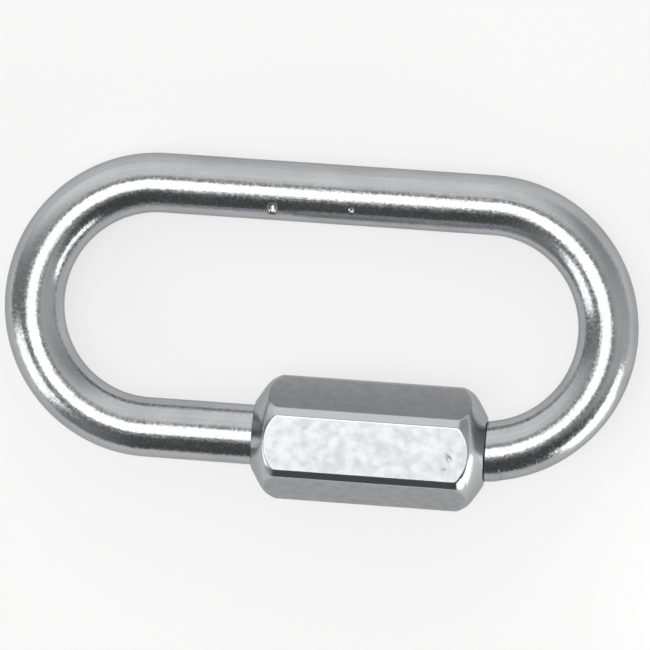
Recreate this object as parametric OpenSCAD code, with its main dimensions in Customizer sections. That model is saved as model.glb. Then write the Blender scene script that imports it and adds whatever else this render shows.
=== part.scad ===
// Chain quick link. A round steel rod is bent into a long loop, and its two threaded
// ends face each other across a gap in one bar. A long hexagonal sleeve nut rides on
// the long end and screws across the gap onto the short end, which closes the loop.
// The closed link lies as it comes to rest, on its plain bar and one of the nut's flats.
// X runs along the bars, Y goes from the nut to the plain bar, and Z is up.

/* [Rod] */
// Diameter of the round rod that the loop is bent from
rod_d = 4; // [3.6:0.1:4.6]
// Chamfer on the rod's two tips
tip_chamfer = 0.4; // [0.1:0.05:0.6]

/* [Loop] */
// Clear width inside the loop, from bar to bar
inside_width = 12.3; // [11:0.1:22]
// Length of the straight bars, between the two bows
bar_length = 22; // [21.5:0.5:36]

/* [Closure] */
// Opening between the rod's two tips
gap = 4.5; // [4:0.1:5]
// Length of thread on the short end, which the nut closes onto
short_thread = 1.8; // [1.2:0.1:2.4]
// Length of thread on the long end, which carries the nut
long_thread = 8.6; // [7.5:0.1:9]
// Pitch of the thread on both ends
thread_pitch = 0.7; // [0.5:0.05:0.8]
// Radial clearance between the rod's thread and the nut's thread
thread_clearance = 0.05; // [0.02:0.01:0.1]
// Distance that the closed nut reaches past the start of the bow
bow_reach = 0.65; // [0:0.05:1]
// End play that is left at each of the nut's two stops
end_play = 0.05; // [0.02:0.01:0.1]

/* [Nut] */
// Length of the nut
nut_length = 15.4; // [14.5:0.1:16]
// Width across the nut's flats
nut_flats = 7.4; // [6:0.1:9]
// Depth turned off the nut's six long corners
corner_relief = 0.15; // [0.05:0.01:0.25]
// Length of the turned nose at each end, along the corners
nose_length = 1.9; // [1.7:0.1:2.2]
// Distance from each end of the nut to the round ends of its flats
flat_setback = 0.92; // [0.85:0.01:1]
// Length of the straight bevel that the nose begins with, next to the rim
bevel_length = 0.8; // [0.6:0.05:0.8]
// Width of the flat ring left at each end, outside the counterbore
rim_width = 0.12; // [0.05:0.01:0.3]
// Radial clearance of the plain counterbore over the rod
bore_clearance = 0.18; // [0.1:0.01:0.3]
// Countersink that leads the short end into the nut's thread
thread_lead = 0.1; // [0.05:0.01:0.15]
// Turn of the nut, counted from lying on a flat
nut_turn = 0; // [0:1:59]

/* [Hidden] */
$fn = 96;
zinc = [0.78, 0.79, 0.8];

// Centreline radius of the bows
bow_r = (inside_width + rod_d) / 2;

// Both threads are drawn as plain cylinders at the pitch diameter of a 60 degree thread
pitch_d = rod_d - 3 * sqrt(3) / 8 * thread_pitch;
stub_d = pitch_d - thread_clearance;
thread_bore_d = pitch_d + thread_clearance;
// Depth that each threaded stub is rooted in the rod behind its shoulder
stub_root = 0.5;

// Places along the nut's bar. The closed nut stops against the short end's shoulder.
short_shoulder_x = bar_length / 2 + bow_reach;
short_tip_x = short_shoulder_x - short_thread;
long_tip_x = short_tip_x - gap;
long_shoulder_x = long_tip_x - long_thread;
nut_x = short_shoulder_x - end_play - nut_length;

// The run-back nut has its face at the long tip and its counterbore's floor at the shoulder
nut_thread = long_thread - 2 * end_play;
counterbore_d = rod_d + 2 * bore_clearance;

// Each end of the nut is turned to a ball that passes through the flats' round ends and the
// corners, and a straight bevel cuts the ball off from there down to the rim
corner_r = nut_flats / 2 / cos(30) - corner_relief;
ball_depth = (pow(corner_r, 2) - pow(nut_flats / 2, 2) + pow(nose_length, 2) - pow(flat_setback, 2))
    / (2 * (nose_length - flat_setback));
ball_r = norm([corner_r, ball_depth - nose_length]);
rim_r = counterbore_d / 2 + rim_width;
bevel_r = sqrt(pow(ball_r, 2) - pow(ball_depth - bevel_length, 2));

// Half the angle that the turned land on one corner covers, seen along the axis
land_angle = 30 - acos(nut_flats / 2 / corner_r);

// Distance from the nut's axis to its outline, at an angle from one flat's normal
function nut_reach(angle) = corner_r * cos(max(0, abs(angle % 60 - 30) - land_angle));

// Resting place: the nut's underside and the plain bar's underside are both at Z = 0
nut_z = nut_reach(nut_turn);
tilt = asin((nut_z - rod_d / 2) / (2 * bow_r));
// The nut and the plain bar lie equally far to either side of Y = 0
nut_y = (nut_reach(nut_turn + 90) - 2 * bow_r * cos(tilt) - rod_d / 2) / 2;

// Stands a shape that was made along +Z along +X instead, from the given place
module along_x(x, y = 0) {
    translate([x, y, 0]) rotate([0, 90, 0]) children();
}

// Right-hand half ring of rod, about the origin
module bow() {
    rotate([0, 0, -90]) rotate_extrude(angle = 180) translate([bow_r, 0]) circle(d = rod_d);
}

// Threaded stub that stands up from its shoulder at Z = 0
module threaded_end(length) {
    straight = length - tip_chamfer;
    translate([0, 0, -stub_root]) cylinder(d = stub_d, h = stub_root + straight);
    translate([0, 0, straight])
        cylinder(d1 = stub_d, d2 = stub_d - 2 * tip_chamfer, h = tip_chamfer);
}

// The bent rod, about the middle of the loop
module loop() {
    along_x(-bar_length / 2, bow_r) cylinder(d = rod_d, h = bar_length);
    translate([-bar_length / 2, 0, 0]) mirror([1, 0, 0]) bow();
    along_x(-bar_length / 2, -bow_r) cylinder(d = rod_d, h = long_shoulder_x + bar_length / 2);
    along_x(long_shoulder_x, -bow_r) threaded_end(long_thread);

    // The other bow is turned down to its shoulder, where the short end begins
    difference() {
        translate([bar_length / 2, 0, 0]) bow();
        along_x(0, -bow_r) cylinder(d = 2 * rod_d, h = short_shoulder_x);
    }
    along_x(short_shoulder_x, -bow_r) mirror([0, 0, 1]) threaded_end(short_thread);
}

module link_body() {
    color(zinc)
        translate([0, nut_y, nut_z]) rotate([-tilt, 0, 0]) translate([0, bow_r, 0]) loop();
}

// Bar with a ball at each end
module balled_bar() {
    for (z = [ball_depth, nut_length - ball_depth]) translate([0, 0, z]) sphere(r = ball_r);
    translate([0, 0, ball_depth]) cylinder(r = ball_r, h = nut_length - 2 * ball_depth);
}

// Thicker bar with a bevel at each end, which starts at the rim
module bevelled_bar() {
    full_r = rim_r + (bevel_r - rim_r) * nose_length / bevel_length;
    cylinder(r1 = rim_r, r2 = full_r, h = nose_length);
    translate([0, 0, nose_length]) cylinder(r = full_r, h = nut_length - 2 * nose_length);
    translate([0, 0, nut_length - nose_length]) cylinder(r1 = full_r, r2 = rim_r, h = nose_length);
}

// Bar stock turned to the nut's corners, with a nose at each end
module turned_blank() {
    intersection() {
        cylinder(r = corner_r, h = nut_length);
        balled_bar();
        bevelled_bar();
    }
}

// Counterbore from the long end's side, then the threaded bore with its countersink
module nut_bore() {
    floor_z = nut_length - nut_thread;
    lead_r = thread_bore_d / 2 + thread_lead;
    translate([0, 0, -end_play]) cylinder(d = counterbore_d, h = floor_z + end_play);
    cylinder(d = thread_bore_d, h = nut_length + end_play);
    translate([0, 0, nut_length - thread_lead])
        cylinder(r1 = lead_r - thread_lead, r2 = lead_r + end_play, h = thread_lead + end_play);
}

module sleeve_nut() {
    color(zinc)
        translate([0, nut_y, nut_z]) along_x(nut_x) rotate([0, 0, 30 + nut_turn])
            difference() {
                intersection() {
                    cylinder(d = nut_flats / cos(30), h = nut_length, $fn = 6);
                    turned_blank();
                }
                nut_bore();
            }
}

link_body();
sleeve_nut();
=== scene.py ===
"""Dresses a chain quick link: the bent rod loop and the sleeve nut that closes it, both zinc plated."""

import logging
import math
from dataclasses import dataclass
from enum import Enum

import bpy
import numpy as np
from mathutils import Matrix, Vector, noise


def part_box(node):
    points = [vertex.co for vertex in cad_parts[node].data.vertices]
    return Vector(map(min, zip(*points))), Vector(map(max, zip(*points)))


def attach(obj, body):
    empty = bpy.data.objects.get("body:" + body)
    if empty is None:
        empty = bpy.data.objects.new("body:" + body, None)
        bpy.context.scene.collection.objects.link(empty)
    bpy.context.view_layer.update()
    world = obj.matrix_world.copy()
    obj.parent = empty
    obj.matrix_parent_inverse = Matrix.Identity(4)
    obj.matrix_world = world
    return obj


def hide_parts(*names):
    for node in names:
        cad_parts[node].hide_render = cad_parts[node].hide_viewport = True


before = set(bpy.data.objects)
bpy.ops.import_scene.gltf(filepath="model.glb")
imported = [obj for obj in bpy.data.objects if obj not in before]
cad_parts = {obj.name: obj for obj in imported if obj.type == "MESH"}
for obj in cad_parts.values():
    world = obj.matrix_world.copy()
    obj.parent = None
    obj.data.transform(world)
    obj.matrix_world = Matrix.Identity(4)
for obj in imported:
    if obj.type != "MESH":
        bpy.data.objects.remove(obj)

LOG = logging.getLogger("quick_link")

# Sizes are written in millimetres, and Blender works in metres
MM = 0.001

WHITE = "#FFFFFF"
# The sRGB curve has a straight foot up to its knee, and a power curve above it
SRGB_KNEE, SRGB_FOOT = 0.04045, 12.92
SRGB_OFFSET, SRGB_POWER = 0.055, 2.4
# Values between which a noise texture mostly stays
NOISE_SPAN = (0.3, 0.7)

# The nut has six sides, and each of them takes up twice this angle
SIDES = 6
HALF_SIDE = math.pi / SIDES


class Body(Enum):
    """Rigid bodies of the frame that the pieces ride on."""

    LINK = "link"
    NUT = "nut"


class Slot(Enum):
    """Material slots of the record. Nothing in this script reads them: each piece gets a new finish of its
    own.
    """

    ROD = "zinc_plated_rod"
    NUT = "zinc_plated_nut"


class LampShape(Enum):
    """Outlines of the studio's soft lights."""

    ROUND = "ELLIPSE"
    STRIP = "RECTANGLE"


def linear_colour(code: str) -> tuple[float, float, float, float]:
    """Turns an sRGB hex colour into the linear colour that a shader socket takes.

    Args:
        code: Colour as #RRGGBB.

    Returns:
        Red, green, blue and alpha, from 0 to 1.
    """
    shares = np.array([int(code[place:place + 2], 16) / 255 for place in (1, 3, 5)])
    curve = ((shares + SRGB_OFFSET) / (1 + SRGB_OFFSET)) ** SRGB_POWER
    levels = np.where(shares <= SRGB_KNEE, shares / SRGB_FOOT, curve)
    return (*levels.tolist(), 1.0)


def per_metre(size_mm: float) -> float:
    """Gives the texture scale at which a pattern's features have a real size in millimetres."""
    return 1 / (size_mm * MM)


def smooth_step(low: float, high: float, value: np.ndarray) -> np.ndarray:
    """Rises smoothly from 0 at one limit to 1 at the other, which may be the lower one.

    Args:
        low: Value at which the step is 0.
        high: Value at which the step is 1.
        value: Values to place on the step.

    Returns:
        Shares from 0 to 1.
    """
    share = np.clip((value - low) / (high - low), 0, 1)
    return share * share * (3 - 2 * share)


def soft_least(first: np.ndarray, second: np.ndarray, width: float) -> np.ndarray:
    """Takes the smaller of two values, and rounds off the edge where they meet.

    Args:
        first: First values.
        second: Second values.
        width: Difference of the values over which the edge is rounded.

    Returns:
        The smaller values.
    """
    share = np.clip(0.5 + 0.5 * (second - first) / width, 0, 1)
    return second + (first - second) * share - width * share * (1 - share)


def add_node(
    tree: bpy.types.NodeTree, kind: str, inputs: dict[str | int, object], **settings: object
) -> bpy.types.Node:
    """Adds a shader node, sets its properties and fills its sockets.

    Args:
        tree: Node tree that takes the node.
        kind: Blender's name of the node, without its ShaderNode prefix.
        inputs: Sockets by name or place. An output socket is linked, and any other value is set.
        settings: Properties of the node by name.

    Returns:
        The new node.
    """
    node = tree.nodes.new("ShaderNode" + kind)
    for name, value in settings.items():
        setattr(node, name, value)
    for name, value in inputs.items():
        if isinstance(value, bpy.types.NodeSocket):
            tree.links.new(value, node.inputs[name])
        else:
            node.inputs[name].default_value = value
    return node


def skin_rings(name: str, rings: np.ndarray, joined: bool) -> bpy.types.Object:
    """Skins rings of points into one closed surface.

    Args:
        name: Name of the new object.
        rings: Points in metres, by ring, place round the ring and axis.
        joined: Whether the last ring joins the first. Otherwise a flat cap closes each end.

    Returns:
        The new object, shaded smooth.
    """
    count, around, _ = rings.shape
    index = np.arange(count * around).reshape(count, around)
    faces = [] if joined else [index[0, ::-1].tolist(), index[-1].tolist()]
    rows = np.vstack((index, index[:1])) if joined else index
    ahead = np.roll(rows, -1, axis=1)
    quads = np.stack((rows[:-1], ahead[:-1], ahead[1:], rows[1:]), axis=-1)
    mesh = bpy.data.meshes.new(name)
    mesh.from_pydata(rings.reshape(-1, 3).tolist(), [], quads.reshape(-1, 4).tolist() + faces)
    mesh.shade_smooth()
    piece = bpy.data.objects.new(name, mesh)
    bpy.context.scene.collection.objects.link(piece)
    return piece


def store(piece: bpy.types.Object, name: str, values: np.ndarray) -> None:
    """Stores one number or one vector for each point of a piece, for its finish to read.

    Args:
        piece: Object that takes the values.
        name: Name that the finish reads them by.
        values: Numbers, or vectors along the last axis, in the order of the points.
    """
    is_vector = values.shape[-1] == 3
    layer = piece.data.attributes.new(name, "FLOAT_VECTOR" if is_vector else "FLOAT", "POINT")
    layer.data.foreach_set("vector" if is_vector else "value", values.ravel().astype(np.float32))


def unevenness(places: np.ndarray, size: float) -> np.ndarray:
    """Gives smooth random values from about 0 to 1, which is how an uneven surface wanders.

    Args:
        places: Points in millimetres, along the last axis.
        size: Size of the unevenness in millimetres.

    Returns:
        One value for each point.
    """
    flat = places.reshape(-1, 3) / size
    wander = np.array([noise.noise(place) for place in flat]).reshape(places.shape[:-1])
    return 0.5 + 0.5 * wander


@dataclass(frozen=True)
class ZincPlatedRod:
    """Bright zinc plate on cold drawn steel rod.

    Thin plating follows the drawn surface, so the rod mirrors the lights in clear bands that are a
    little grainy at their borders and faintly streaked along its length.
    """

    name: str = "bright_zinc_plate_on_drawn_rod"
    bright: str = "#B5B6B8"
    dull: str = "#A9AAAC"
    # The passivated film on the zinc dims what is mirrored at glancing angles
    glancing: str = "#CCCCCE"
    roughness: tuple[float, float] = (0.1, 0.3)
    # Grain of the plating is really about 0.02 mm, drawn coarser so that it shows
    grain: float = 0.2
    grain_depth: float = 0.009
    streak: float = 0.3
    streak_depth: float = 0.008
    cloud: float = 3.0
    # Detail of the grain, and of the streaks and clouds
    grain_detail: float = 3.0
    streak_detail: float = 2.0
    # Share of the tone that the streaks give, and the span of it that goes from dull to bright
    streak_share: float = 0.5
    tone_span: tuple[float, float] = (0.4, 0.58)

    def material(self) -> bpy.types.Material:
        """Builds the finish from its nodes.

        Returns:
            The new material.
        """
        material = bpy.data.materials.new(self.name)
        material.use_nodes = True
        tree = material.node_tree
        shader = tree.nodes["Principled BSDF"]
        places = add_node(tree, "TexCoord", {}).outputs["Object"]
        lines = add_node(tree, "Attribute", {}, attribute_name="die_streaks").outputs["Vector"]
        patterns = (
            (places, self.grain, self.grain_detail),
            (places, self.cloud, self.streak_detail),
            (lines, self.streak, self.streak_detail),
        )
        grain, cloud, streak = (
            add_node(tree, "TexNoise", {
                "Vector": where, "Scale": per_metre(size), "Detail": detail,
            }).outputs["Fac"]
            for where, size, detail in patterns
        )
        shade = add_node(tree, "Mix", {0: self.streak_share, 2: cloud, 3: streak})
        tint = add_node(tree, "ValToRGB", {"Fac": shade.outputs[0]})
        for end, position, colour in zip(tint.color_ramp.elements, self.tone_span, (self.dull, self.bright)):
            end.position, end.color = position, linear_colour(colour)
        gloss = add_node(tree, "MapRange", {
            "Value": grain, "From Min": NOISE_SPAN[0], "From Max": NOISE_SPAN[1],
            "To Min": self.roughness[0], "To Max": self.roughness[1],
        })
        drawn = add_node(tree, "Bump", {"Height": streak, "Distance": self.streak_depth * MM})
        pitted = add_node(tree, "Bump", {
            "Height": grain, "Distance": self.grain_depth * MM, "Normal": drawn.outputs["Normal"],
        })
        shader.inputs["Metallic"].default_value = 1.0
        shader.inputs["Specular Tint"].default_value = linear_colour(self.glancing)
        tree.links.new(tint.outputs["Color"], shader.inputs["Base Color"])
        tree.links.new(gloss.outputs["Result"], shader.inputs["Roughness"])
        tree.links.new(pitted.outputs["Normal"], shader.inputs["Normal"])
        return material


@dataclass(frozen=True)
class ZincPlatedNut:
    """Bright zinc plate on drawn hexagonal steel with turned ends.

    The flats keep the drawn bar's matt, mottled skin, while edges and noses, which rub in the plating
    drum and in use, are burnished brighter.
    """

    name: str = "bright_zinc_plate_on_drawn_hexagon"
    burnished: str = "#B4B5B7"
    bright: str = "#AAABAD"
    dull: str = "#A1A2A4"
    glancing: str = "#CCCCCE"
    flat_roughness: tuple[float, float] = (0.29, 0.35)
    burnished_roughness: float = 0.2
    mottle: float = 0.6
    mottle_depth: float = 0.003
    grain: float = 0.2
    grain_depth: float = 0.004
    # Detail of the mottle and of the grain, and the span of the mottle that goes from dull to bright
    mottle_detail: float = 4.0
    grain_detail: float = 3.0
    tone_span: tuple[float, float] = (0.35, 0.6)

    def material(self) -> bpy.types.Material:
        """Builds the finish from its nodes.

        Returns:
            The new material.
        """
        material = bpy.data.materials.new(self.name)
        material.use_nodes = True
        tree = material.node_tree
        shader = tree.nodes["Principled BSDF"]
        places = add_node(tree, "TexCoord", {}).outputs["Object"]
        burnish = add_node(tree, "Attribute", {}, attribute_name="burnish").outputs["Fac"]
        patterns = ((self.mottle, self.mottle_detail), (self.grain, self.grain_detail))
        mottle, grain = (
            add_node(tree, "TexNoise", {
                "Vector": places, "Scale": per_metre(size), "Detail": detail,
            }).outputs["Fac"]
            for size, detail in patterns
        )
        skin = add_node(tree, "ValToRGB", {"Fac": mottle})
        for end, position, tone in zip(skin.color_ramp.elements, self.tone_span, (self.dull, self.bright)):
            end.position, end.color = position, linear_colour(tone)
        colour = add_node(tree, "Mix", {
            0: burnish, 6: skin.outputs["Color"], 7: linear_colour(self.burnished),
        }, data_type="RGBA")
        matt = add_node(tree, "MapRange", {
            "Value": mottle, "From Min": NOISE_SPAN[0], "From Max": NOISE_SPAN[1],
            "To Min": self.flat_roughness[1], "To Max": self.flat_roughness[0],
        })
        gloss = add_node(tree, "Mix", {0: burnish, 2: matt.outputs["Result"], 3: self.burnished_roughness})
        uneven = add_node(tree, "Bump", {"Height": mottle, "Distance": self.mottle_depth * MM})
        pitted = add_node(tree, "Bump", {
            "Height": grain, "Distance": self.grain_depth * MM, "Normal": uneven.outputs["Normal"],
        })
        shader.inputs["Metallic"].default_value = 1.0
        shader.inputs["Specular Tint"].default_value = linear_colour(self.glancing)
        tree.links.new(colour.outputs[2], shader.inputs["Base Color"])
        tree.links.new(gloss.outputs[0], shader.inputs["Roughness"])
        tree.links.new(pitted.outputs["Normal"], shader.inputs["Normal"])
        return material


@dataclass(frozen=True)
class MattBoard:
    """Matt white card, lit evenly from below, which looks nearly white and keeps the link's soft shadow."""

    name: str = "matt_white_card"
    colour: str = "#F5F5F4"
    roughness: float = 0.9
    # Share of its look that comes from the light below it
    glow: float = 0.66

    def material(self) -> bpy.types.Material:
        """Builds the finish from its nodes.

        Returns:
            The new material.
        """
        material = bpy.data.materials.new(self.name)
        material.use_nodes = True
        tree = material.node_tree
        shader = tree.nodes["Principled BSDF"]
        shader.inputs["Base Color"].default_value = linear_colour(self.colour)
        shader.inputs["Roughness"].default_value = self.roughness
        shader.inputs["Specular IOR Level"].default_value = 0.0
        rays = add_node(tree, "LightPath", {}).outputs
        seen = rays["Is Camera Ray"]
        for ray in ("Is Glossy Ray", "Is Transmission Ray"):
            seen = add_node(tree, "Math", {0: seen, 1: rays[ray]}, operation="MAXIMUM").outputs[0]
        share = add_node(tree, "Math", {0: seen, 1: self.glow}, operation="MULTIPLY")
        light = add_node(tree, "Emission", {"Color": linear_colour(WHITE), "Strength": 1.0})
        look = add_node(tree, "MixShader", {0: share.outputs[0], 1: shader.outputs[0], 2: light.outputs[0]})
        tree.links.new(look.outputs[0], tree.nodes["Material Output"].inputs["Surface"])
        return material


def dress_piece(
    piece: bpy.types.Object, finish: ZincPlatedRod | ZincPlatedNut, body: Body, node: str
) -> None:
    """Gives a piece its finish and its place in the frame.

    Args:
        piece: Finished mesh object.
        finish: Finish that it takes.
        body: Body that it moves with.
        node: Solid of the frame that it stands for.
    """
    piece.data.materials.append(finish.material())
    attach(piece, body.value)
    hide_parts(node)


@dataclass(frozen=True)
class LoopPlane:
    """Plane that the bent rod lies in, in millimetres: u along the bars, v across them, w out of it."""

    centre: Vector
    across: Vector
    up: Vector
    bow_r: float
    half_bar: float
    nut_start: float
    nut_end: float

    @classmethod
    def from_frame(cls, rod_r: float) -> "LoopPlane":
        """Reads the plane from the frame's solids.

        Args:
            rod_r: Radius of the rod.

        Returns:
            The plane, with the bars' places in it.
        """
        rod_low, rod_high = (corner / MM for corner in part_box("link_body"))
        nut_low, nut_high = (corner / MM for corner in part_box("sleeve_nut"))
        nut_axis = Vector((0, (nut_low.y + nut_high.y) / 2, (nut_low.z + nut_high.z) / 2))
        plain_axis = Vector((0, rod_high.y - rod_r, rod_low.z + rod_r))
        across = (plain_axis - nut_axis).normalized()
        bow_r = (plain_axis - nut_axis).length / 2
        return cls(
            centre=(nut_axis + plain_axis) / 2,
            across=across,
            up=Vector((1, 0, 0)).cross(across),
            bow_r=bow_r,
            half_bar=rod_high.x - bow_r - rod_r,
            nut_start=nut_low.x,
            nut_end=nut_high.x,
        )

    @property
    def tilt(self) -> float:
        """Angle by which the plane slopes down from the nut to the plain bar."""
        return math.atan2(-self.across.z, self.across.y)

    def place(self, u: np.ndarray, v: np.ndarray, w: np.ndarray) -> np.ndarray:
        """Turns places in the plane into the frame's coordinates.

        Args:
            u: Distances along the bars.
            v: Distances across, from the middle of the loop.
            w: Distances out of the plane.

        Returns:
            Points in metres, with the axes last.
        """
        u, v, w = np.broadcast_arrays(u, v, w)
        axes = np.array(((1, 0, 0), self.across, self.up))
        return MM * (np.array(self.centre) + np.stack((u, v, w), axis=-1) @ axes)


@dataclass(frozen=True)
class Thread:
    """Right-hand thread about the nut's axis, with 60 degree flanks, flat crests and flat roots."""

    crest_r: float
    root_r: float
    pitch: float = 0.7
    crest_share: float = 1 / 8
    root_share: float = 1 / 4

    def radius(self, along: np.ndarray, angle: np.ndarray) -> np.ndarray:
        """Gives the thread's radius.

        Args:
            along: Distances along the axis.
            angle: Angles about the axis, in radians.

        Returns:
            Radii in millimetres.
        """
        turns = along / self.pitch - angle / math.tau
        from_crest = np.abs(turns - np.round(turns))
        flank = (1 - self.crest_share - self.root_share) / 2
        share = np.clip((from_crest - self.crest_share / 2) / flank, 0, 1)
        return self.crest_r + (self.root_r - self.crest_r) * share


@dataclass(frozen=True)
class Nick:
    """Dent struck into a surface, in millimetres along and around it, turned by a slant in degrees.

    It is a round dent, or else a wedge with straight walls, as the corner of a tool leaves it. A wedge
    leans when its far wall is longer than its near one, by the share that is given.
    """

    along: float
    around: float
    length: float
    width: float
    depth: float
    slant: float = 0.0
    is_wedge: bool = False
    lean: float = 0.0
    # Power by which a wedge keeps its depth along its length and then ends steeply
    wedge_power: int = 4
    # Number of lengths to either side over which the surface needs close rings of points
    reach_lengths: int = 3

    @property
    def reach(self) -> float:
        """Distance to either side over which the surface needs close rings of points."""
        return self.reach_lengths * self.length

    def dip(self, along: np.ndarray, around: np.ndarray) -> np.ndarray:
        """Gives how deep the surface is dented.

        Args:
            along: Distances along the surface.
            around: Distances around it.

        Returns:
            Depths in millimetres.
        """
        turn = math.radians(self.slant)
        run = (along - self.along) * math.cos(turn) + (around - self.around) * math.sin(turn)
        rise = (around - self.around) * math.cos(turn) - (along - self.along) * math.sin(turn)
        if not self.is_wedge:
            return self.depth * np.exp(-((run / self.length) ** 2) - (rise / self.width) ** 2)
        wall = self.width * (1 + self.lean * np.sign(rise))
        slope = np.maximum(1 - np.abs(rise) / wall, 0)
        return self.depth * np.exp(-((run / self.length) ** self.wedge_power)) * slope


@dataclass(frozen=True)
class RodLoop:
    """Round rod bent into the loop, with its two threaded ends. Sizes are in millimetres."""

    rod_r: float = 2.0
    # Places along the nut's bar
    long_tip: float = 5.35
    long_shoulder: float = -3.25
    short_tip: float = 9.85
    short_shoulder: float = 11.65
    # Distance in front of the short end's shoulder where the bow begins to run straight
    settle: float = 0.75
    tip_r: float = 1.35
    # Share of the tip's radius that its flat face covers before the edge breaks
    face_share: float = 0.94
    thread: Thread = Thread(crest_r=1.98, root_r=1.6)
    # The rod isn't quite even after drawing and bending
    sway: float = 0.012
    sway_size: float = 3.2
    ripple: float = 0.006
    ripple_size: float = 0.9
    # Spacing of the rings of points at threads and nicks, and how many of them make a plain step
    fine_step: float = 0.05
    plain_steps: int = 3
    # Half the length over which the rod's direction is measured
    direction_reach: float = 0.02
    segments: int = 112
    # Two nicks on the inner side of the plain bar, from the bar's middle and by angle from its outer side
    nicks: tuple[Nick, ...] = (
        Nick(along=-3.55, around=rod_r * math.radians(127), length=0.22, width=0.42, depth=0.44,
             is_wedge=True, lean=0.4),
        Nick(along=1.69, around=rod_r * math.radians(121), length=0.14, width=0.2, depth=0.15,
             is_wedge=True, lean=0.4),
    )
    # Streaks that the drawing die leaves are this many times longer than wide
    streak_stretch: float = 40.0
    finish: ZincPlatedRod = ZincPlatedRod()

    def bar_middle(self, plane: LoopPlane) -> float:
        """Gives the distance along the rod from its long tip to the middle of the plain bar."""
        return self.long_tip + 2 * plane.half_bar + math.pi * plane.bow_r

    def centreline(self, along: np.ndarray, plane: LoopPlane) -> tuple[np.ndarray, np.ndarray]:
        """Follows the middle of the rod from the long tip round the loop to the short tip.

        Args:
            along: Distances along the rod.
            plane: Plane of the loop.

        Returns:
            The places u and v in the loop's plane.
        """
        bow_r, bar, bow = plane.bow_r, 2 * plane.half_bar, math.pi * plane.bow_r
        long_end = self.long_tip + plane.half_bar
        left = np.clip((along - long_end) / bow_r, 0, math.pi)
        right = np.clip((along - long_end - bow - bar) / bow_r, 0, math.pi)
        short_run = np.maximum(along - long_end - 2 * bow - bar, 0)
        u = self.long_tip - np.minimum(along, long_end) - bow_r * np.sin(left)
        u += np.clip(along - long_end - bow, 0, bar) + bow_r * np.sin(right) - short_run
        v = bow_r * (np.cos(right) - np.cos(left) - 1)
        near_short_end = right > math.pi / 2
        closing = near_short_end * smooth_step(self.short_shoulder + self.settle, self.short_shoulder, u)
        return u, v + (-bow_r - v) * closing

    def stations(self, plane: LoopPlane) -> np.ndarray:
        """Chooses the distances along the rod that have a ring of points, closer where there is detail.

        Args:
            plane: Plane of the loop.

        Returns:
            Distances along the rod, from tip to tip.
        """
        length = self.long_tip - self.short_tip + 4 * plane.half_bar + 2 * math.pi * plane.bow_r
        every = np.linspace(0, length, round(length / self.fine_step) + 1)
        u, _ = self.centreline(every, plane)
        at_long_end = every < self.long_tip - self.long_shoulder + self.settle
        at_short_end = (every > length - 2 * self.rod_r) & (u < self.short_shoulder + self.settle)
        on_plain_step = np.arange(every.size) % self.plain_steps == 0
        keep = on_plain_step | at_long_end | at_short_end | (every == length)
        for nick in self.nicks:
            keep |= np.abs(every - self.bar_middle(plane) - nick.along) < nick.reach
        return every[keep]

    def thread_ends(self, radii: np.ndarray, u: np.ndarray, angle: np.ndarray) -> np.ndarray:
        """Cuts the two threads, with their tapered tips and run-outs, on the straight ends.

        Args:
            radii: Radii of the plain rod.
            u: Places along the nut's bar.
            angle: Angles about the nut's axis.

        Returns:
            Radii of the rod's ends.
        """
        depth = np.where(u < self.short_tip, u - self.long_shoulder, self.short_shoulder - u)
        from_tip = np.where(u < self.short_tip, self.long_tip - u, u - self.short_tip)
        cut = np.minimum(self.thread.radius(u, angle), self.tip_r + np.maximum(from_tip, 0))
        return np.where(depth > 0, np.maximum(cut, radii - depth), radii)

    def build(self, plane: LoopPlane) -> bpy.types.Object:
        """Builds the rod as one skin from tip to tip.

        Args:
            plane: Plane of the loop.

        Returns:
            The finished mesh object.
        """
        along = self.stations(plane)
        u, v = self.centreline(along, plane)
        behind, ahead = (self.centreline(along + side * self.direction_reach, plane) for side in (-1, 1))
        u, v, along = u[:, None], v[:, None], along[:, None]
        run_u, run_v = ((after - before)[:, None] for before, after in zip(behind, ahead))
        stride = np.hypot(run_u, run_v)
        turn = np.linspace(0, math.tau, self.segments, endpoint=False)[None, :]
        reach_u, reach_v = np.cos(turn) * (-run_v / stride), np.cos(turn) * (run_u / stride)
        reach_w = np.sin(turn) + 0 * u

        places = np.stack((u + self.rod_r * reach_u, v + self.rod_r * reach_v, self.rod_r * reach_w), axis=-1)
        radii = self.rod_r - self.sway * unevenness(places, self.sway_size)
        radii -= self.ripple * unevenness(places, self.ripple_size)
        for nick in self.nicks:
            radii -= nick.dip(along - self.bar_middle(plane), self.rod_r * turn)
        at_end = (v < 0) & (np.abs(run_v) < np.abs(run_u))
        radii = np.where(at_end, self.thread_ends(radii, u, math.pi - turn), radii)

        rings = plane.place(u + radii * reach_u, v + radii * reach_v, radii * reach_w)
        middles = plane.place(u, v, 0 * u)
        faces = middles + self.face_share * (rings - middles)
        piece = skin_rings("rod_loop", np.concatenate((faces[:1], rings, faces[-1:])), joined=False)
        line_places = (self.rod_r * np.cos(turn), self.rod_r * np.sin(turn), along / self.streak_stretch)
        streaks = MM * np.stack(np.broadcast_arrays(*line_places), axis=-1)
        store(piece, "die_streaks", np.concatenate((streaks[:1], streaks, streaks[-1:])))
        return piece

    def dress(self, piece: bpy.types.Object) -> None:
        """Gives the built rod its finish and its place in the frame."""
        dress_piece(piece, self.finish, Body.LINK, "link_body")


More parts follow.
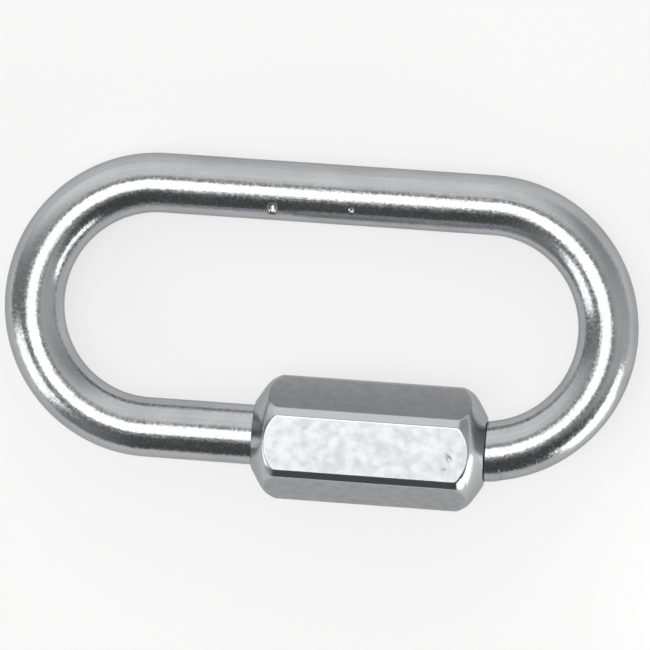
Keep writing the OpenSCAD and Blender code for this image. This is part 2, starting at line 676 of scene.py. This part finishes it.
@dataclass(frozen=True)
class SleeveNut:
    """Hexagonal sleeve nut with turned noses, a plain counterbore and a thread. Sizes are in millimetres."""

    flats: float = 7.4
    # Radius that the long corners are turned to, and how much their edges are rounded
    corner_r: float = 4.12
    edge_blend: float = 0.03
    # Each nose is a ball, which runs into a straight bevel next to the rim
    nose_length: float = 1.65
    flat_setback: float = 0.92
    bevel_length: float = 0.8
    bevel_blend: float = 0.3
    rim_r: float = 2.3
    # Width over which the turned noses run into the flats
    nose_blend: float = 0.06
    counterbore_r: float = 2.18
    thread_length: float = 8.5
    lead_r: float = 2.08
    thread: Thread = Thread(crest_r=2.03, root_r=1.65, crest_share=1 / 4, root_share=1 / 8)
    # The flats of drawn bar aren't quite even
    ripple: float = 0.004
    ripple_size: float = 1.4
    # Dents on the upper flat, by distance from the counterbored end and from the flat's middle line
    dents: tuple[Nick, ...] = (
        Nick(along=13.23, around=0.27, length=0.3, width=0.13, depth=0.05, slant=50.0),
        Nick(along=12.95, around=1.13, length=0.17, width=0.13, depth=0.035),
        Nick(along=2.99, around=-1.24, length=0.16, width=0.13, depth=0.02),
        Nick(along=3.73, around=-1.03, length=0.16, width=0.14, depth=0.025),
    )
    # Burnish begins this many blend widths from an edge, and is full at these on corners and noses
    burnish_start: float = 1.6
    corner_burnished: float = 0.2
    nose_burnished: float = 0.4
    # Half the angle about each corner where the points are close, and how many there are in and between
    edge_reach: float = 7.5
    flat_points: int = 24
    edge_points: int = 24
    # Spacing of the rings, and the least spacing that is kept where two sets of them meet
    nose_step: float = 0.05
    middle_step: float = 0.25
    thread_step: float = 0.058
    least_step: float = 0.0125
    # Edges that turn by more than this many degrees are left sharp
    sharp_angle: float = 38.0
    finish: ZincPlatedNut = ZincPlatedNut()

    def flat_angles(self) -> np.ndarray:
        """Spreads points over one flat and the corner after it.

        Returns:
            Angles from the flat's normal, in radians.
        """
        dense = HALF_SIDE - math.radians(self.edge_reach)
        over_flat = np.linspace(-dense, dense, self.flat_points, endpoint=False)
        over_edge = np.linspace(dense, 2 * HALF_SIDE - dense, self.edge_points, endpoint=False)
        return np.concatenate((over_flat, over_edge))

    def nose_radius(self, along: np.ndarray, length: float) -> np.ndarray:
        """Gives the radius that the turned ends leave.

        Args:
            along: Distances from the counterbored end.
            length: Length of the nut.

        Returns:
            Radii in millimetres.
        """
        spread = self.corner_r ** 2 - (self.flats / 2) ** 2 + self.nose_length ** 2 - self.flat_setback ** 2
        depth = spread / (2 * (self.nose_length - self.flat_setback))
        ball_r = math.hypot(self.corner_r, depth - self.nose_length)
        bevel_r = math.sqrt(ball_r ** 2 - (depth - self.bevel_length) ** 2)
        from_end = np.minimum(along, length - along)
        ball = np.sqrt(ball_r ** 2 - np.maximum(depth - from_end, 0) ** 2)
        bevel = self.rim_r + (bevel_r - self.rim_r) * from_end / self.bevel_length
        return soft_least(ball, bevel, self.bevel_blend)

    def outside(self, along: np.ndarray, angle: np.ndarray, length: float) -> tuple[np.ndarray, np.ndarray]:
        """Shapes the outer surface.

        Args:
            along: Distances from the counterbored end.
            angle: Angles from the nearest flat's normal.
            length: Length of the nut.

        Returns:
            Radii in millimetres, and how burnished each place is: 0 on the flats, 1 on edges and noses.
        """
        flat = self.flats / 2 / np.cos(angle)
        hexagon, nose = soft_least(flat, self.corner_r, self.edge_blend), self.nose_radius(along, length)
        radii = soft_least(hexagon, nose, self.nose_blend)
        edge_limits = self.burnish_start * self.edge_blend, self.corner_burnished * self.edge_blend
        nose_limits = self.burnish_start * self.nose_blend, self.nose_burnished * self.nose_blend
        on_edge = smooth_step(*edge_limits, self.corner_r - flat)
        on_nose = smooth_step(*nose_limits, nose - hexagon)
        return radii, np.maximum(on_edge, on_nose)

    def inside(self, angle: np.ndarray, plane: LoopPlane) -> tuple[np.ndarray, np.ndarray]:
        """Shapes the bore: the thread from its open end down to the floor, then the counterbore.

        Args:
            angle: Angles about the nut's axis.
            plane: Plane of the loop, whose lower bar carries the nut.

        Returns:
            Distances from the counterbored end, and radii in millimetres.
        """
        length = plane.nut_end - plane.nut_start
        floor = length - self.thread_length
        threaded = np.arange(length, floor, -self.thread_step)[:, None]
        lead_in = np.maximum(self.lead_r - (length - threaded), self.counterbore_r - (threaded - floor))
        cut = np.maximum(self.thread.radius(threaded + plane.nut_start, angle), lead_in)
        well = np.array((floor, floor - 2 * self.nose_step, self.nose_step, 0.0))[:, None]
        plain = np.full((well.size, angle.size), self.counterbore_r)
        # The counterbore's mouth has its edge broken by one step
        plain[-1] += self.nose_step
        return np.concatenate((threaded, well)), np.concatenate((cut, plain))

    def stations(self, length: float) -> np.ndarray:
        """Chooses the distances along the outside that have a ring of points.

        Args:
            length: Length of the nut.

        Returns:
            Distances from the counterbored end.
        """
        nose = np.arange(0, self.nose_length + 2 * self.nose_blend, self.nose_step)
        middle = np.arange(nose[-1] + self.nose_step, length - nose[-1], self.middle_step)
        near = [np.arange(d.along - d.reach, d.along + d.reach, d.width / 2) for d in self.dents]
        every = np.sort(np.concatenate((nose, middle, length - nose, *near)))
        return every[np.concatenate(([True], np.diff(every) > self.least_step))]

    def build(self, plane: LoopPlane) -> bpy.types.Object:
        """Builds the nut as one skin: outside, threaded end, bore, counterbore and back to the start.

        Args:
            plane: Plane of the loop, whose lower bar carries the nut.

        Returns:
            The finished mesh object.
        """
        length = plane.nut_end - plane.nut_start
        side_angles = self.flat_angles()
        from_flat = np.tile(side_angles, SIDES)
        flat_turns = 2 * HALF_SIDE * np.repeat(np.arange(SIDES), side_angles.size)
        angle = (math.pi / 2 + plane.tilt + flat_turns + from_flat)[None, :]
        nearest = (from_flat - np.where(from_flat > HALF_SIDE, 2 * HALF_SIDE, 0))[None, :]

        along = self.stations(length)[:, None]
        radii, burnish = self.outside(along, nearest, length)
        places = np.stack(np.broadcast_arrays(along, radii * np.cos(angle), radii * np.sin(angle)), axis=-1)
        radii = radii - self.ripple * unevenness(places, self.ripple_size)
        across = self.flats / 2 * np.tan(nearest)
        for dent in self.dents:
            radii -= np.where(flat_turns == 0, dent.dip(along, across), 0)

        bore_along, bore_radii = self.inside(angle, plane)
        along = np.concatenate((along, bore_along))
        radii = np.concatenate((radii, bore_radii))
        burnish = np.concatenate((burnish, np.ones_like(bore_radii)))
        across_axis, above_axis = radii * np.cos(angle), radii * np.sin(angle)
        rings = plane.place(plane.nut_start + along, across_axis - plane.bow_r, above_axis)
        piece = skin_rings("sleeve_nut_dressed", rings, joined=True)
        piece.data.set_sharp_from_angle(angle=math.radians(self.sharp_angle))
        store(piece, "burnish", burnish[..., None])
        return piece

    def dress(self, piece: bpy.types.Object) -> None:
        """Gives the built nut its finish and its place in the frame."""
        dress_piece(piece, self.finish, Body.NUT, "sleeve_nut")


@dataclass(frozen=True)
class SoftLamp:
    """Studio light with an even, soft face, which is aimed at the link.

    Angles are in degrees, as seen from the link: azimuth from the front to the right, elevation from
    the floor, and how wide and high the light spreads. The distance is in metres.
    """

    name: str
    shape: LampShape
    azimuth: float
    elevation: float
    spread: tuple[float, float]
    distance: float
    radiance: float

    def build(self) -> bpy.types.Object:
        """Sets the lamp up in its place, facing the link and hidden from the camera.

        Returns:
            The lamp's object.
        """
        lamp = bpy.data.lights.new(self.name, "AREA")
        lamp.shape = self.shape.value
        wide, high = (2 * self.distance * math.tan(math.radians(angle / 2)) for angle in self.spread)
        lamp.size, lamp.size_y = wide, high
        face = wide * high * (math.pi / 4 if self.shape is LampShape.ROUND else 1)
        lamp.energy = self.radiance * math.pi * face
        turn = Matrix.Rotation(math.radians(self.azimuth), 3, "Z")
        turn = turn @ Matrix.Rotation(math.radians(90 - self.elevation), 3, "X")
        piece = bpy.data.objects.new(self.name, lamp)
        piece.matrix_world = Matrix.Translation(turn @ Vector((0, 0, self.distance))) @ turn.to_4x4()
        piece.visible_camera = False
        bpy.context.scene.collection.objects.link(piece)
        return piece


@dataclass(frozen=True)
class Studio:
    """Matt white floor under a soft box, with low boxes at the sides and a room that is dark in front."""

    floor_half: float = 3.0
    # The low strip stands close to the right bow, whose outer side mirrors it next to the floor
    lamps: tuple[SoftLamp, ...] = (
        SoftLamp("top_box", LampShape.ROUND, azimuth=-75, elevation=84, spread=(33, 46),
                 distance=0.6, radiance=2.5),
        SoftLamp("left_box", LampShape.STRIP, azimuth=-66, elevation=24, spread=(29, 37),
                 distance=0.5, radiance=2.2),
        SoftLamp("right_box", LampShape.STRIP, azimuth=56, elevation=11, spread=(42, 22),
                 distance=0.5, radiance=3.25),
        SoftLamp("low_strip", LampShape.STRIP, azimuth=64, elevation=5.3, spread=(21, 9.5),
                 distance=0.036, radiance=3.0),
    )
    # Brightness of the room's left and right halves: in front of the link, beside it and behind it
    room_front: tuple[float, float] = (0.35, 0.11)
    room_side: tuple[float, float] = (0.29, 0.69)
    room_back: tuple[float, float] = (1.19, 0.48)
    # Brightness of the ceiling round the top light
    room_top: float = 0.38
    # Spans of a direction's X over which left turns into right: in front, beside and behind
    front_span: tuple[float, float] = (-0.6, -0.1)
    side_span: tuple[float, float] = (-0.5, 0.5)
    back_span: tuple[float, float] = (0.0, 0.7)
    # Spans of its Y over which the front turns into the sides, and the sides into the back
    ahead_span: tuple[float, float] = (-0.5, -0.15)
    behind_span: tuple[float, float] = (0.1, 0.7)
    # Span of its Z over which the walls turn into the ceiling
    top_span: tuple[float, float] = (0.82, 0.92)

    def build_floor(self, finish: MattBoard) -> bpy.types.Object:
        """Lays the floor that the link lies on.

        Args:
            finish: Finish of the floor.

        Returns:
            The floor's object.
        """
        signs = ((-1, -1), (1, -1), (1, 1), (-1, 1))
        corners = [(x * self.floor_half, y * self.floor_half, 0) for x, y in signs]
        mesh = bpy.data.meshes.new("floor")
        mesh.from_pydata(corners, [], [(0, 1, 2, 3)])
        floor = bpy.data.objects.new("floor", mesh)
        bpy.context.scene.collection.objects.link(floor)
        floor.data.materials.append(finish.material())
        return floor

    def build_room(self) -> bpy.types.World:
        """Makes the room: dark in front of the link, lighter to its right and lightest at the back left.

        Returns:
            The scene's new world.
        """
        world = bpy.data.worlds.new("studio_room")
        bpy.context.scene.world = world
        world.use_nodes = True
        tree = world.node_tree
        direction = add_node(tree, "TexCoord", {}).outputs["Generated"]
        axes = add_node(tree, "SeparateXYZ", {0: direction}).outputs
        # Each step blends two brightnesses, or two earlier steps, over a span of one axis
        steps = (
            ("front", "X", self.front_span, self.room_front),
            ("side", "X", self.side_span, self.room_side),
            ("back", "X", self.back_span, self.room_back),
            ("ahead", "Y", self.ahead_span, ("front", "side")),
            ("walls", "Y", self.behind_span, ("ahead", "back")),
            ("room", "Z", self.top_span, ("walls", self.room_top)),
        )
        levels: dict[str, bpy.types.NodeSocket] = {}
        for name, axis, span, ends in steps:
            low, high = (levels.get(end, end) for end in ends)
            blend = add_node(tree, "MapRange", {
                "Value": axes[axis], "From Min": span[0], "From Max": span[1], "To Min": low, "To Max": high,
            }, interpolation_type="SMOOTHSTEP")
            levels[name] = blend.outputs["Result"]
        background = tree.nodes["Background"]
        background.inputs["Color"].default_value = linear_colour(WHITE)
        tree.links.new(levels["room"], background.inputs["Strength"])
        return world


@dataclass(frozen=True)
class ViewCamera:
    """Camera at the photograph's viewing angle. Angles are in degrees, sizes in millimetres."""

    azimuth: float = 135.381
    elevation: float = 82.872
    roll: float = -131.561
    aim: tuple[float, float, float] = (0.368, 0.510, 2.908)
    distance: float = 319.96
    lens: float = 267.01
    sensor: float = 36.0
    # Nearest and farthest distances that it sees, in metres
    sight: tuple[float, float] = (0.01, 100.0)

    def build(self) -> bpy.types.Object:
        """Stands the camera in its place and makes it the scene's camera.

        Returns:
            The camera's object.
        """
        data = bpy.data.cameras.new("view_camera")
        data.lens, data.sensor_width, data.sensor_fit = self.lens, self.sensor, "HORIZONTAL"
        data.clip_start, data.clip_end = self.sight
        camera = bpy.data.objects.new("view_camera", data)
        bpy.context.scene.collection.objects.link(camera)
        turn = Matrix.Rotation(math.radians(self.azimuth), 3, "Z")
        turn = turn @ Matrix.Rotation(math.radians(90 - self.elevation), 3, "X")
        turn = turn @ Matrix.Rotation(math.radians(self.roll), 3, "Z")
        place = MM * (Vector(self.aim) + turn @ Vector((0, 0, self.distance)))
        camera.matrix_world = Matrix.Translation(place) @ turn.to_4x4()
        bpy.context.scene.camera = camera
        return camera


def main() -> None:
    """Builds the camera, the studio and the link's two pieces."""
    logging.basicConfig(level=logging.INFO, format="%(name)s: %(message)s")
    bpy.context.scene.view_settings.view_transform = "Standard"
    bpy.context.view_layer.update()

    ViewCamera().build()
    studio = Studio()
    studio.build_floor(MattBoard())
    studio.build_room()
    for lamp in studio.lamps:
        lamp.build()
        LOG.info("%s: radiance %.2f", lamp.name, lamp.radiance)

    rod, nut = RodLoop(), SleeveNut()
    plane = LoopPlane.from_frame(rod.rod_r)
    for maker in (rod, nut):
        piece = maker.build(plane)
        maker.dress(piece)
        LOG.info("%s: %d points, %s", piece.name, len(piece.data.vertices), maker.finish.name)


if __name__ == "__main__":
    main()
